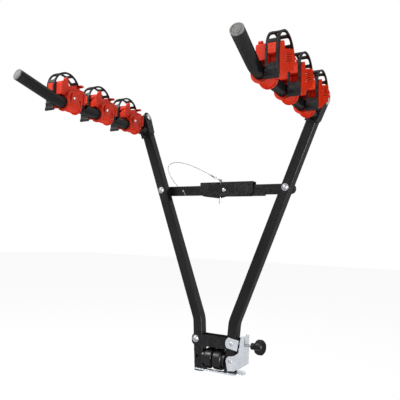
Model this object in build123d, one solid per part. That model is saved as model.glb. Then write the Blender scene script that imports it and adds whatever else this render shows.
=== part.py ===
from build123d import *
from math import atan2, cos, degrees, pi, radians, sin, sqrt, tan
import os

# Hitch rack for three bicycles that clamps a tow ball between two cups.
# Millimetres. Origin at the centre of the tow ball, +Z up, +Y forward to the car,
# +X to the right as seen from behind the car. The two uprights stand in the plane Y = 0.

# Clearances
slide_gap = 0.3
fit_gap = 0.05
wrap_gap = 0.1

# Tow ball and the two cups that hold it
ball_diameter = 50.0
ball_play = 0.3
cup_radius = 30.5
cup_boss_radius = 23.0
cup_face_gap = 2.0
cup_barrel_end = 30.0
neck_radius = 16.0
cup_face_round = 3.0
cup_back_round = 8.0

# Uprights: bent square tube
tube_size = 30.0
tube_wall = 2.0
tube_corner = 3.5
pivot_x = 60.6
pivot_z = 54.0
foot_lean = 4.2
foot_inset = 4.5
bend_rise = 60.0
bend_radius = 70.0
splay = 21.07
left_foot_drop = 94.5
right_foot_drop = 82.0

# Bridge channel that carries both uprights
bridge_wall = 3.0
bridge_ear = 14.0
bridge_above = 15.0
bridge_below = 19.0
bridge_corner = 13.0
bridge_web_half = 34.0

# Bolts
base_bolt_radius = 5.0
bolt_radius = 4.0
washer_radius = 10.5
washer_thickness = 2.0
head_radius = 8.5
head_height = 5.0
nut_flats = 13.0
nut_height = 6.5
rivet_head_radius = 6.0
rivet_head_height = 2.2
cup_screw_radius = 3.0
cup_screw_head = 5.5
cup_screw_spread = 18.0

# Zinc plates at the right base bolt
tab_thickness = 3.0
tab_radius = 19.5
tab_reach = 21.5
tab_height = 31.0
tab_tilt = 9.0

# Clamp lever, its pressure screw and knob
lever_wall = 2.8
lever_web_x = 100.0
lever_top = 79.5
lever_ear_radius = 14.0
lever_foot_left = 49.0
lever_pivot_z = 3.0
lever_foot_right = 70.0
lever_foot_z = -25.5
lever_web_bottom = -3.0
lever_neck_x = 83.5
lever_neck_z = 31.0
lever_lip = 10.0
lever_lip_drop = 13.0
lever_slot_height = 27.0
lever_slot_width = 3.5
stud_z = 52.0
knob_collar_x = 115.5
knob_head_x = 126.5
knob_end_x = 155.0
knob_collar_radius = 9.5
knob_radius = 21.5
knob_lobes = 6
knob_scallop = 7.5
knob_shoulder = 5.0
knob_crown = 6.0

# Safety plate under the cups
plate_thickness = 4.0
plate_left = -56.0
plate_right = 97.0
plate_half_depth = 31.0
plate_slot_end = 34.0
plate_slot_gap = 2.3
plate_hole_length = 10.0
plate_hole_width = 24.0
plate_hole_margin = 12.0

# Folding crossbar
cross_rise = 455.0
bar_height = 30.0
bar_depth = 15.0
bar_wall = 2.0
spacer_length = 5.8
spacer_radius = 11.0
left_bar_end = 5.0
right_bar_end = 56.0
channel_wall = 2.5
channel_top = 25.0
channel_bottom = 19.0
channel_bulge = 6.0
left_channel_length = 86.0
right_channel_length = 98.0
left_channel_lap = 19.0
right_channel_lap = 10.0
channel_chamfer = 11.0
channel_tongue = 24.0
lip_start = 62.0
lip_end = 133.0
lip_thickness = 4.0

# Lock pin and its steel lanyard
pin_radius = 3.0
pin_x = -18.0
pin_below = 43.0
pin_above = 27.0
pin_head_radius = 5.0
pin_head_height = 8.0
pin_head_thickness = 3.6
pin_eye_radius = 1.7
ring_radius = 7.0
ring_tilt = 60.0
ring_wire = 1.2
lanyard_radius = 1.1
ferrule_radius = 2.4
ferrule_length = 14.0
loop_radius = 3.6
anchor_x = -150.0
anchor_head = 1.5
anchor_radius = 2.2
anchor_tail = (11.0, -17.0)

# Arms: round tube welded to a folding bracket
arm_radius = 15.0
arm_wall = 2.0
arm_rise = 216.6
arm_hinge_rise = 48.0
arm_bend_y = 411.0
arm_bend_angle = 17.8
arm_bend_radius = 140.0
arm_tip_length = 124.8
cap_thickness = 3.0
cap_plug_length = 14.0
cap_groove = (9.6, 11.2)
cap_groove_depth = 0.8
bracket_wall = 3.0
bracket_below = 22.0
bracket_web_gap = 5.0
bracket_front = 13.0
bracket_chamfer = 8.0

# Cradles on the arms
cradle_pitch = 135.4
first_cradle_y = 85.9
cradle_names = ("front", "middle", "rear")
clamp_front = 19.0
clamp_rear = 31.0
clamp_wall = 5.3
clamp_flange = 2.5
clamp_flange_length = 4.5
saddle_inner = -6.0
saddle_outer = 50.8
saddle_round = 3.0
saddle_front = 38.5
horn_top = 65.5
horn_shoulder = 53.0
horn_back = (-41.0, 58.5)
horn_front = -23.0
valley_back = -18.5
crest_y = 29.0
step_front = (9.0, 50.0)
step_outer = 11.0
skirt_front = (28.0, 19.0)
skirt_low = -17.0
skirt_round = 9.0
nub_middle = (-27.0, 65.5)
nub_radius = 5.5
nub_length = 9.0
rib_count = 5
rib_middle = (4.0, 27.0)
rib_slope = 20.0
rib_length = 38.0
rib_pitch = 4.9
rib_width = 2.2
rib_proud = 1.8
pad_low = 32.0
pad_high = 54.0
pad_proud = 0.5
pad_side_gap = 1.0
pad_depth = 6.0
recess_depth = 9.0
recess_low = 9.0
recess_high = 31.0
saddle_floor = 20.0
saddle_valley = 49.0
pocket_ways = ((-16.0, -6.0), (-2.0, 10.0), (14.0, 26.0))
pocket_depth = 7.0
pocket_wall = 3.0
hollow_half = 34.0
hollow_wall = 4.0
hollow_roof = 39.0
housing_inner = -16.4
housing_back = -28.0
housing_front = 35.0
housing_top = 33.0
housing_low = 8.0
housing_rise = 10.0
housing_rib = 3.0
lug_thickness = 4.5
lug_middle = -10.0
lug_half_length = 12.0
lug_top = 29.0
lug_low = 4.0
lug_tip_half = 6.0
lug_border = 3.0
lug_recess = 1.2
lug_seat_radius = 5.5
lug_screw_z = 15.0
cradle_screw_radius = 2.5
cradle_screw_head = (4.5, 2.8)
cradle_screw_end = -10.2

# Rubber straps
strap_inner = 18.2
strap_outer = 47.8
strap_thickness = 4.0
strap_y = 47.0
strap_centre_z = 47.0
strap_tab_top = 6.0
strap_tab_bottom = -22.0
strap_tab_width = 35.0
strap_tab_thickness = 5.5
strap_eye_radius = 6.5
strap_pin_radius = 3.0
strap_pin_z = 44.0
strap_window_width = 20.0
strap_window_length = 18.0
strap_window_pitch = 26.0
strap_window_margin = 5.0
strap_arch_windows = 5
pin_lug_thickness = 3.0
pin_lug_radius = 8.0
pin_lug_root = 30.0
pin_lug_low = 32.0
pin_lug_high = 58.0
eye_room = 1.5

os.makedirs("parts", exist_ok=True)

# Places that follow from the sizes above
half_tube = tube_size / 2
over_size = 2 * tube_size
foot_slope = tan(radians(foot_lean))
splay_slope = tan(radians(splay))
lean_half = half_tube / cos(radians(foot_lean))
bend_z = pivot_z + bend_rise
bend_x = pivot_x - foot_inset + bend_rise * foot_slope
cross_z = pivot_z + cross_rise
cross_x = bend_x + (cross_z - bend_z) * splay_slope
flange_y = half_tube + slide_gap
flange_outer = flange_y + bridge_wall
plate_top = pivot_z - right_foot_drop
bar_y = half_tube + slide_gap + spacer_length
bar_front = bar_y + bar_depth


def foot_x(z):
    # Centre line of the lower, nearly upright stretch of the right tube at height z
    return pivot_x - foot_inset + (z - pivot_z) * foot_slope


def up_right(distance, z_offset=0.0):
    # Point on the upper stretch of the right tube, measured up from the cross bolt
    reach = distance + z_offset
    return (cross_x + reach * sin(radians(splay)), 0, cross_z + reach * cos(radians(splay)))


lever_pivot = (foot_x(0) + foot_inset, lever_pivot_z)
arm_frame = Location(up_right(arm_rise), (0, splay, 0))


def y_rod(x, z, y_low, y_high, radius):
    middle = (y_low + y_high) / 2
    rod = Cylinder(radius, y_high - y_low, rotation=(90, 0, 0))
    return Pos(x, middle, z) * rod


def x_rod(y, z, x_low, x_high, radius):
    rod = Cylinder(radius, x_high - x_low, rotation=(0, 90, 0))
    return Pos((x_low + x_high) / 2, y, z) * rod


def z_rod(x, y, z_low, z_high, radius):
    return Pos(x, y, (z_low + z_high) / 2) * Cylinder(radius, z_high - z_low)


def block(x_low, x_high, y_low, y_high, z_low, z_high):
    size = (x_high - x_low, y_high - y_low, z_high - z_low)
    centre = ((x_low + x_high) / 2, (y_low + y_high) / 2, (z_low + z_high) / 2)
    return Pos(*centre) * Box(*size)


def xz_plate(face, y_low, y_high):
    # A face drawn with x across and z up, made into a plate from y_low to y_high
    plane = Plane(origin=(0, y_high, 0), x_dir=(1, 0, 0), z_dir=(0, -1, 0))
    return extrude(plane * face, amount=y_high - y_low)


def yz_plate(face, x_low, x_high):
    # A face drawn with y across and z up, made into a plate from x_low to x_high
    plane = Plane(origin=(x_low, 0, 0), x_dir=(0, 1, 0), z_dir=(1, 0, 0))
    return extrude(plane * face, amount=x_high - x_low)


def outline(*points):
    return make_face(Polyline(*points, close=True))


def mirrored(shape):
    return mirror(shape, about=Plane.YZ)


def round_head(radius, height):
    # Domed bolt head that stands on z = 0
    dome = (radius**2 + height**2) / (2 * height)
    head = Pos(0, 0, height - dome) * Sphere(dome)
    return head & Pos(0, 0, height / 2) * Cylinder(radius, height)


def hex_nut(flats, height, hole):
    nut = extrude(RegularPolygon(flats / sqrt(3), 6), amount=height)
    nut = nut - Pos(0, 0, height / 2) * Cylinder(hole, 2 * height)
    return nut


def y_bolt(x, z, y_head, y_tip, radius, with_nut=None, riveted=False):
    # Bolt along Y with a domed head and washer behind y_head, and a nut at with_nut;
    # a riveted one has a low head and no washer
    place = Pos(x, y_head, z) * Rot(90, 0, 0)
    if riveted:
        head = round_head(rivet_head_radius, rivet_head_height)
    else:
        head = Pos(0, 0, washer_thickness) * round_head(head_radius, head_height)
        head = head + Pos(0, 0, washer_thickness / 2) * Cylinder(washer_radius, washer_thickness)
    bolt = place * head + y_rod(x, z, y_head, y_tip, radius)
    if with_nut is None:
        return bolt
    nut = Pos(x, with_nut, z) * Rot(-90, 0, 0) * hex_nut(nut_flats, nut_height, radius + fit_gap)
    return Compound(children=[bolt, nut])


def save(name, *solids):
    shape = solids[0] if len(solids) == 1 else Compound(children=list(solids))
    export_step(shape, f"parts/{name}.step")


# Uprights
def make_upright(foot_drop):
    low = pivot_z - foot_drop
    top = up_right(arm_rise, arm_hinge_rise + half_tube)
    start = (foot_x(low), 0, low)
    path = FilletPolyline(start, (bend_x, 0, bend_z), top, radius=bend_radius)
    base = Plane(origin=start, x_dir=(0, 1, 0), z_dir=path % 0)
    outer = sweep(base * RectangleRounded(tube_size, tube_size, tube_corner), path=path)
    bore = tube_size - 2 * tube_wall
    inner = sweep(base * RectangleRounded(bore, bore, tube_corner - tube_wall), path=path)
    tube = outer - inner
    # Feet are cut level
    tube = tube - Pos(start[0], 0, low - half_tube) * Box(over_size, over_size, tube_size)
    # The top is rounded about the arm bolt
    over = Pos(0, 0, arm_hinge_rise + tube_size) * Box(over_size, over_size, over_size)
    over = over - Pos(0, 0, arm_hinge_rise) * Cylinder(half_tube, 3 * tube_size, rotation=(0, 90, 0))
    tube = tube - arm_frame * over
    bolt_hole = Cylinder(bolt_radius + fit_gap, 3 * tube_size, rotation=(0, 90, 0))
    tube = tube - arm_frame * Pos(0, 0, arm_hinge_rise) * bolt_hole
    tube = tube - y_rod(pivot_x, pivot_z, -tube_size, tube_size, base_bolt_radius + fit_gap)
    tube = tube - y_rod(cross_x, cross_z, -tube_size, tube_size, bolt_radius + fit_gap)
    tube = tube - y_rod(*lever_pivot, -tube_size, tube_size, bolt_radius + fit_gap)
    for z in (-cup_screw_spread, cup_screw_spread):
        tube = tube - x_rod(0, z, 0, foot_x(z) + tube_size, cup_screw_radius + fit_gap)
    return tube


def make_top_plug():
    width = tube_size - 2 * tube_wall - 2 * wrap_gap
    depth = arm_hinge_rise / 2
    plug = extrude(RectangleRounded(width, width, tube_corner - tube_wall), amount=depth + half_tube)
    plug = Pos(0, 0, arm_hinge_rise - depth) * plug
    crown = Pos(0, 0, arm_hinge_rise) * Cylinder(half_tube - wrap_gap, width, rotation=(0, 90, 0))
    stem = Pos(0, 0, arm_hinge_rise - depth / 2) * Box(width, width, depth)
    plug = plug & (crown + stem)
    hole = Cylinder(bolt_radius + fit_gap, 2 * tube_size, rotation=(0, 90, 0))
    return arm_frame * (plug - Pos(0, 0, arm_hinge_rise) * hole)


save("right_upright", make_upright(right_foot_drop))
save("left_upright", mirrored(make_upright(left_foot_drop)))
save("right_top_plug", make_top_plug())
save("left_top_plug", mirrored(make_top_plug()))


# Cups: half barrels with half of the ball's seat in each
def make_cup():
    barrel = x_rod(0, 0, cup_face_gap, cup_barrel_end, cup_radius)
    rims = barrel.edges().filter_by(GeomType.CIRCLE).sort_by(Axis.X)
    barrel = fillet(rims[0], cup_face_round)
    rims = barrel.edges().filter_by(GeomType.CIRCLE).sort_by(Axis.X)
    barrel = fillet(rims[-1], cup_back_round)
    boss = x_rod(0, 0, cup_barrel_end, pivot_x, cup_boss_radius)
    cup = barrel + boss
    # The boss ends on the inner face of the leaning foot
    wall = block(0, tube_size * 2, -tube_size * 2, tube_size * 2, -tube_size * 2, tube_size * 2)
    wall = Pos(foot_x(0) - lean_half, 0, 0) * Rot(0, foot_lean, 0) * wall
    cup = cup - wall
    neck = Rot(0, 0, 30) * z_rod(0, 0, -2 * cup_radius, 0, neck_radius)
    cup = cup - (Rot(0, 90, 0) * Sphere((ball_diameter + ball_play) / 2) + neck)
    for z in (-cup_screw_spread, cup_screw_spread):
        cup = cup - x_rod(0, z, ball_diameter / 2, pivot_x, cup_screw_radius + fit_gap)
    return cup


def make_cup_screws():
    screws = []
    for z in (-cup_screw_spread, cup_screw_spread):
        face = foot_x(z) + lean_half
        head = x_rod(0, z, face, face + cup_screw_head, cup_screw_head)
        shank = x_rod(0, z, cup_barrel_end, face, cup_screw_radius)
        wedge = block(-tube_size, 0, -tube_size, tube_size, -tube_size, tube_size)
        wedge = Pos(face, 0, z) * Rot(0, foot_lean, 0) * wedge
        screws.append((head - wedge) + shank)
    return screws


save("right_cup", make_cup())
save("left_cup", mirrored(make_cup()))
save("right_cup_screws", *make_cup_screws())
save("left_cup_screws", *[mirrored(screw) for screw in make_cup_screws()])


# Bridge: an upside-down channel over both uprights
def make_bridge():
    width = 2 * (pivot_x + bridge_ear)
    height = bridge_above + bridge_below
    middle = pivot_z + (bridge_above - bridge_below) / 2
    face = Pos(0, middle) * RectangleRounded(width, height, bridge_corner)
    bridge = xz_plate(face, -flange_outer, -flange_y) + xz_plate(face, flange_y, flange_outer)
    top = pivot_z + bridge_above
    bridge = bridge + block(
        -bridge_web_half, bridge_web_half, -flange_outer, flange_outer, top - bridge_wall, top
    )
    for side in (-1, 1):
        hole = y_rod(side * pivot_x, pivot_z, -tube_size, tube_size, base_bolt_radius + fit_gap)
        bridge = bridge - hole
    return bridge


def make_tab(y_low, y_high):
    # Rounded about the bolt on its left, square past the upright on its right
    face = Circle(tab_radius) + Pos(tab_reach / 2, 0) * Rectangle(tab_reach, tab_height)
    limit = Pos((tab_reach - tab_radius) / 2, 0) * Rectangle(tab_reach + tab_radius, tab_height)
    face = Pos(pivot_x, pivot_z) * Rot(0, 0, -tab_tilt) * (face & limit)
    tab = xz_plate(face, y_low, y_high)
    return tab - y_rod(pivot_x, pivot_z, y_low - 1.0, y_high + 1.0, base_bolt_radius + fit_gap)


save("bridge", make_bridge())
tab_outer = flange_outer + tab_thickness
save("bolt_plates", make_tab(-tab_outer, -flange_outer), make_tab(flange_outer, tab_outer))
base_bolt_tip = tab_outer + nut_height
save("left_base_bolt", y_bolt(
    -pivot_x, pivot_z, -flange_outer, base_bolt_tip, base_bolt_radius, flange_outer
))
save("right_base_bolt", y_bolt(
    pivot_x, pivot_z, -tab_outer, base_bolt_tip, base_bolt_radius, tab_outer, riveted=True
))


# Clamp lever: two cheeks astride the right foot, joined by an outer web
lever_y = half_tube + slide_gap + wrap_gap
lever_outer_y = lever_y + lever_wall


def make_lever():
    ear = lever_ear_radius
    pivot_at_x, pivot_at_z = lever_pivot
    body = outline(
        (pivot_at_x - ear, pivot_at_z),
        (lever_foot_left, lever_foot_z),
        (lever_foot_right, lever_foot_z + lever_wall),
        (lever_web_x, lever_web_bottom),
        (lever_web_x, lever_top),
        (lever_web_x - lever_lip, lever_top),
        (lever_web_x - 1.25 * lever_lip, lever_top - lever_lip_drop),
        (lever_neck_x, lever_neck_z),
        (lever_foot_right, lever_neck_z - lever_lip),
        (pivot_at_x, pivot_at_z + ear),
    )
    face = body + Pos(pivot_at_x, pivot_at_z) * Circle(ear)
    lever = xz_plate(face, -lever_outer_y, -lever_y) + xz_plate(face, lever_y, lever_outer_y)
    lever = lever + block(
        lever_web_x - lever_wall, lever_web_x, -lever_outer_y, lever_outer_y, lever_web_bottom, lever_top
    )
    # Relief slot at the top of the rear bend
    slot_low = lever_top - lever_slot_height
    lever = lever - block(
        lever_web_x - 2 * lever_wall, lever_web_x + 1.0,
        -lever_outer_y + lever_wall, -lever_outer_y + lever_wall + lever_slot_width,
        slot_low, lever_top - lever_wall,
    )
    lever = lever - y_rod(*lever_pivot, -tube_size, tube_size, bolt_radius + fit_gap)
    lever = lever - x_rod(0, stud_z, lever_web_x - tube_size, lever_web_x + tube_size, bolt_radius + fit_gap)
    return lever


def make_knob():
    # Profile of the body of revolution, then scallops for the fingers
    shape = Polyline(
        (knob_collar_x, 0),
        (knob_collar_x, knob_collar_radius),
        (knob_head_x, knob_collar_radius),
        (knob_head_x + knob_shoulder, knob_radius - 0.6 * knob_shoulder),
        (knob_head_x + 2 * knob_shoulder, knob_radius),
        (knob_end_x - knob_crown, knob_radius),
        (knob_end_x, knob_radius - knob_crown),
        (knob_end_x, 0),
        close=True,
    )
    face = Plane(origin=(0, 0, 0), x_dir=(1, 0, 0), z_dir=(0, -1, 0)) * make_face(shape)
    knob = revolve(face, axis=Axis.X)
    for i in range(knob_lobes):
        turn = 2 * pi * i / knob_lobes
        reach = knob_radius + 0.55 * knob_scallop
        knob = knob - x_rod(
            reach * cos(turn), reach * sin(turn), knob_head_x, knob_end_x + 1.0, knob_scallop
        )
    knob = knob - x_rod(0, 0, knob_collar_x - 1.0, knob_head_x + knob_crown, bolt_radius + fit_gap)
    return Pos(0, 0, stud_z) * knob


save("clamp_lever", make_lever())
save("lever_bolt", y_bolt(
    *lever_pivot, -lever_outer_y, lever_outer_y + nut_height, bolt_radius, lever_outer_y, riveted=True
))
stud_tip = foot_x(stud_z) + lean_half + slide_gap
save("knob_stud", x_rod(0, stud_z, stud_tip, knob_head_x + knob_crown, bolt_radius))
save("knob", make_knob())


# Safety plate: a fork under the cups, fast to the right foot
def make_safety_plate():
    depth = 2 * plate_half_depth
    round_x = plate_right - plate_half_depth
    face = Pos((plate_left + round_x) / 2, 0) * Rectangle(round_x - plate_left, depth)
    face = face + Pos(round_x, 0) * Circle(plate_half_depth)
    slot_half = half_tube + plate_slot_gap
    slot_length = plate_slot_end - plate_left + tube_size
    slot = RectangleRounded(slot_length, 2 * slot_half, 5.0)
    face = face - Pos(plate_slot_end - slot_length / 2, 0) * slot
    hole_x = plate_right - plate_hole_margin - plate_hole_length / 2
    face = face - Pos(hole_x, 0) * RectangleRounded(plate_hole_length, plate_hole_width, 4.0)
    return extrude(Pos(0, 0, plate_top) * face, amount=-plate_thickness)


save("safety_plate", make_safety_plate())


# Folding crossbar in front of the uprights
def make_bar(inner_end):
    # Right-hand half; the outer end is rounded about its bolt
    half = bar_height / 2
    length = cross_x - inner_end
    solid_face = Pos(inner_end + length / 2, cross_z) * Rectangle(length, bar_height)
    solid_face = solid_face + Pos(cross_x, cross_z) * Circle(half)
    bar = xz_plate(solid_face, bar_y, bar_front)
    hollow = block(
        inner_end + 2 * half, cross_x - half, bar_y + bar_wall, bar_front - bar_wall,
        cross_z - half + bar_wall, cross_z + half - bar_wall,
    )
    bar = bar - hollow
    return bar - y_rod(cross_x, cross_z, 0, 3 * tube_size, bolt_radius + fit_gap)


channel_half = bar_depth / 2 + channel_wall
outer_inner_half = channel_half + slide_gap
outer_half = outer_inner_half + channel_wall
bar_mid_y = (bar_y + bar_front) / 2
hinge_hole = y_rod(0, cross_z, 0, 3 * tube_size, bolt_radius + fit_gap)


def make_left_channel():
    top = cross_z + channel_top
    low = cross_z - channel_bottom
    cheek = outline(
        (0, low), (-channel_tongue, low - channel_bulge), (-2 * channel_tongue, low - channel_bulge / 2),
        (-left_channel_length + channel_chamfer, low), (-left_channel_length, low + channel_chamfer),
        (-left_channel_length, top), (-channel_tongue, top), (-channel_tongue, cross_z + left_channel_lap),
        (0, cross_z + left_channel_lap),
    )
    cheek = cheek + Pos(0, cross_z) * Circle(left_channel_lap)
    inner = bar_depth / 2
    channel = xz_plate(cheek, bar_mid_y - channel_half, bar_mid_y - inner)
    channel = channel + xz_plate(cheek, bar_mid_y + inner, bar_mid_y + channel_half)
    channel = channel + block(
        -left_channel_length, -channel_tongue - slide_gap, bar_mid_y - channel_half,
        bar_mid_y + channel_half, top - channel_wall, top,
    )
    return channel - hinge_hole


def make_right_channel():
    top = cross_z + channel_top
    low = cross_z - channel_bottom
    end = right_channel_length
    cheek = outline(
        (-right_channel_lap, top), (-right_channel_lap, cross_z), (-right_channel_lap - 4.0, low),
        (end - channel_chamfer, low), (end, low + channel_chamfer), (end, top),
    )
    channel = xz_plate(cheek, bar_mid_y - outer_half, bar_mid_y - outer_inner_half)
    channel = channel + xz_plate(cheek, bar_mid_y + outer_inner_half, bar_mid_y + outer_half)
    channel = channel + block(
        -right_channel_lap, end, bar_mid_y - outer_half, bar_mid_y + outer_half, top - channel_wall, top
    )
    tongue_half = bar_depth / 2
    channel = channel + block(
        -channel_tongue, 0, bar_mid_y - tongue_half, bar_mid_y + tongue_half, top - channel_wall, top
    )
    notch_half = pin_radius + slide_gap
    channel = channel - block(
        -2 * channel_tongue, pin_x + notch_half, bar_mid_y - notch_half, bar_mid_y + notch_half,
        top - 2 * channel_wall, top + channel_wall,
    )
    return channel - hinge_hole


def make_packers():
    # Plates that fill the wider channel out to the bar
    half = bar_height / 2
    inner = bar_depth / 2
    place = (right_bar_end, right_channel_length - channel_chamfer)
    rear = block(*place, bar_mid_y - outer_inner_half, bar_mid_y - inner, cross_z - half, cross_z + half)
    front = block(*place, bar_mid_y + inner, bar_mid_y + outer_inner_half, cross_z - half, cross_z + half)
    return rear, front


left_bar = mirrored(make_bar(left_bar_end))
left_bar = left_bar - z_rod(
    pin_x, bar_mid_y, cross_z - bar_height, cross_z + bar_height, pin_radius + fit_gap
)
left_bar = left_bar - y_rod(anchor_x, cross_z, 0, 3 * tube_size, anchor_radius + fit_gap)
save("left_bar", left_bar)
save("right_bar", make_bar(right_bar_end))
save("left_hinge_channel", make_left_channel())
save("right_hinge_channel", make_right_channel())
save("hinge_packers", *make_packers())
lip_low = cross_z - bar_height / 2 - lip_thickness
save("lock_lip", block(lip_start, lip_end, bar_y, bar_front, lip_low, lip_low + lip_thickness))
hinge_rear = bar_mid_y - outer_half
hinge_front = bar_mid_y + outer_half
save("hinge_bolt", y_bolt(
    0, cross_z, hinge_rear, hinge_front + nut_height, bolt_radius, hinge_front, riveted=True
))


def make_spacer():
    ring = y_rod(cross_x, cross_z, half_tube + slide_gap, bar_y, spacer_radius)
    return ring - y_rod(cross_x, cross_z, 0, tube_size, bolt_radius + fit_gap)


save("right_cross_spacer", make_spacer())
save("left_cross_spacer", mirrored(make_spacer()))
save("left_cross_bolt", y_bolt(
    -cross_x, cross_z, -half_tube, bar_front + nut_height, bolt_radius, bar_front
))
# The loop of the folding crossbar is opened here: the bolt stops inside the upright
save("right_cross_bolt", y_bolt(cross_x, cross_z, -half_tube, half_tube, bolt_radius))
stub = y_rod(cross_x, cross_z, half_tube + slide_gap, bar_front + nut_height, bolt_radius)
stub_nut = Pos(cross_x, bar_front, cross_z) * Rot(-90, 0, 0)
stub_nut = stub_nut * hex_nut(nut_flats, nut_height, bolt_radius + fit_gap)
save("right_cross_nut", stub, stub_nut)


# Lock pin with its ring
pin_low = cross_z - pin_below
pin_top = cross_z + pin_above
pin = z_rod(pin_x, bar_mid_y, pin_low, pin_top, pin_radius)
pin = chamfer(pin.edges().filter_by(GeomType.CIRCLE).sort_by(Axis.Z)[0], pin_radius / 3)
pin_head = z_rod(pin_x, bar_mid_y, pin_top, pin_top + pin_head_height, pin_head_radius)
flat = pin_head_thickness / 2
pin_head = pin_head & block(-tube_size, 0, bar_mid_y - flat, bar_mid_y + flat, 0, 2 * cross_z)
eye_z = pin_top + pin_head_height / 2
eye = y_rod(pin_x, eye_z, bar_mid_y - tube_size, bar_mid_y + tube_size, pin_eye_radius)
save("lock_pin", pin + pin_head - eye)
ring_lean = (-sin(radians(ring_tilt)), cos(radians(ring_tilt)))
ring_centre = (pin_x + ring_radius * ring_lean[0], bar_mid_y, eye_z + ring_radius * ring_lean[1])
ring_plane = Plane(origin=ring_centre, x_dir=(0, 1, 0), z_dir=(ring_lean[1], 0, -ring_lean[0]))
save("lock_ring", ring_plane * Torus(ring_radius, ring_wire))


# Lanyard of steel wire from the bar's hole, over in an arc, to the ring
lanyard_points = [
    (anchor_x, bar_front + anchor_head, cross_z),
    (anchor_x - 0.2, 42.5, 509.2),
    (anchor_x - 4.0, 46.0, 509.8),
    (-164.0, 47.5, 511.5),
    (-179.5, 46.0, 519.5),
    (-195.5, 42.5, 535.0),
    (-209.5, 39.5, 552.5),
    (-219.0, 37.0, 570.4),
    (-226.6, 36.0, 589.1),
    (-219.2, 35.0, 602.2),
    (-197.2, 34.0, 608.1),
    (-175.0, 33.0, 605.8),
    (-149.0, 32.0, 599.5),
    (-124.3, 31.0, 591.1),
    (-88.5, 29.8, 575.4),
    (-54.5, 28.8, 558.2),
]


def tangent_radius(before, corner, after):
    # Largest arc that the two runs beside a corner allow
    run_in = Vector(*corner) - Vector(*before)
    run_out = Vector(*after) - Vector(*corner)
    half_turn = radians(run_in.get_angle(run_out)) / 2
    return 0.45 * min(run_in.length, run_out.length) / tan(half_turn)


lanyard_radii = []
for i in range(1, len(lanyard_points) - 1):
    lanyard_radii.append(tangent_radius(*lanyard_points[i - 1:i + 2]))
print("lanyard bend radii", [round(radius, 1) for radius in lanyard_radii])
lanyard_path = FilletPolyline(*lanyard_points, radius=lanyard_radii)
lanyard_start = Plane(origin=lanyard_points[0], z_dir=lanyard_path % 0)
lanyard = sweep(lanyard_start * Circle(lanyard_radius), path=lanyard_path)
print("lanyard length", round(lanyard_path.length, 1), "volume", round(lanyard.volume, 1),
      "expected", round(lanyard_path.length * pi * lanyard_radius**2, 1))
save("lanyard", lanyard)

last = Vector(*lanyard_points[-1])
towards = (last - Vector(*lanyard_points[-2])).normalized()
ferrule = Plane(origin=last, z_dir=towards) * Pos(0, 0, ferrule_length / 2) * Cylinder(
    ferrule_radius, ferrule_length
)
loop_start = last + towards * ferrule_length
loop_frame = Plane(origin=loop_start + towards * loop_radius, x_dir=towards, z_dir=(0, 1, 0))
loop = loop_frame * Torus(loop_radius, lanyard_radius)
save("lanyard_eye", ferrule + loop)


# Crimped stop that holds the lanyard in the bar, with its bent tail behind
anchor = y_rod(anchor_x, cross_z, bar_y - anchor_head, bar_front + anchor_head, anchor_radius)
anchor = anchor + y_rod(anchor_x, cross_z, bar_front, bar_front + anchor_head, 1.5 * anchor_radius)
anchor = anchor + y_rod(anchor_x, cross_z, bar_y - anchor_head, bar_y, 1.5 * anchor_radius)
tail_start = Vector(anchor_x, bar_y - anchor_head, cross_z)
tail_way = Vector(anchor_tail[0], 0, anchor_tail[1])
tail = Plane(origin=tail_start, z_dir=tail_way) * Pos(0, 0, tail_way.length / 2)
anchor = anchor + tail * Cylinder(lanyard_radius, tail_way.length)
save("lanyard_anchor", anchor)


# Arms, built about the right arm's own frame: x outboard, y forward, z up the tube
def make_arm():
    root_y = -flange_outer
    tip_y = -arm_bend_y - arm_tip_length * cos(radians(arm_bend_angle))
    tip_z = arm_tip_length * sin(radians(arm_bend_angle))
    path = FilletPolyline(
        (0, root_y, 0), (0, -arm_bend_y, 0), (0, tip_y, tip_z), radius=arm_bend_radius
    )
    base = Plane(origin=(0, root_y, 0), x_dir=(1, 0, 0), z_dir=(0, -1, 0))
    outer = sweep(base * Circle(arm_radius), path=path)
    inner = sweep(base * Circle(arm_radius - arm_wall), path=path)
    return arm_frame * (outer - inner)


def make_arm_cap():
    tip_y = -arm_bend_y - arm_tip_length * cos(radians(arm_bend_angle))
    tip_z = arm_tip_length * sin(radians(arm_bend_angle))
    tip = Location((0, tip_y, tip_z), (90 - arm_bend_angle, 0, 0))
    rim = Pos(0, 0, cap_thickness / 2) * Cylinder(arm_radius, cap_thickness)
    rim = fillet(rim.edges().filter_by(GeomType.CIRCLE).sort_by(Axis.Z)[-1], cap_thickness / 2)
    groove = Circle(cap_groove[1]) - Circle(cap_groove[0])
    rim = rim - extrude(Pos(0, 0, cap_thickness - cap_groove_depth) * groove, amount=cap_thickness)
    plug = Pos(0, 0, -cap_plug_length / 2) * Cylinder(arm_radius - arm_wall - wrap_gap, cap_plug_length)
    return arm_frame * (tip * (rim + plug))


def make_arm_bracket():
    inside = half_tube + slide_gap
    outside = inside + bracket_wall
    web = block(
        -outside, outside, -flange_outer, -inside, -bracket_below, arm_hinge_rise - bracket_web_gap
    )
    top = arm_hinge_rise
    cheek_low = -bracket_below + 2 * bracket_wall
    cheek = outline(
        (-flange_outer, cheek_low), (-flange_outer, top), (flange_outer, top),
        (bracket_front, cheek_low + bracket_chamfer), (bracket_front - bracket_chamfer, cheek_low),
    )
    cheek = cheek + Pos(0, top) * Circle(flange_outer)
    bracket = web + yz_plate(cheek, -outside, -inside) + yz_plate(cheek, inside, outside)
    hole = Pos(0, 0, top) * Cylinder(bolt_radius + fit_gap, 3 * tube_size, rotation=(0, 90, 0))
    return arm_frame * (bracket - hole)


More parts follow.
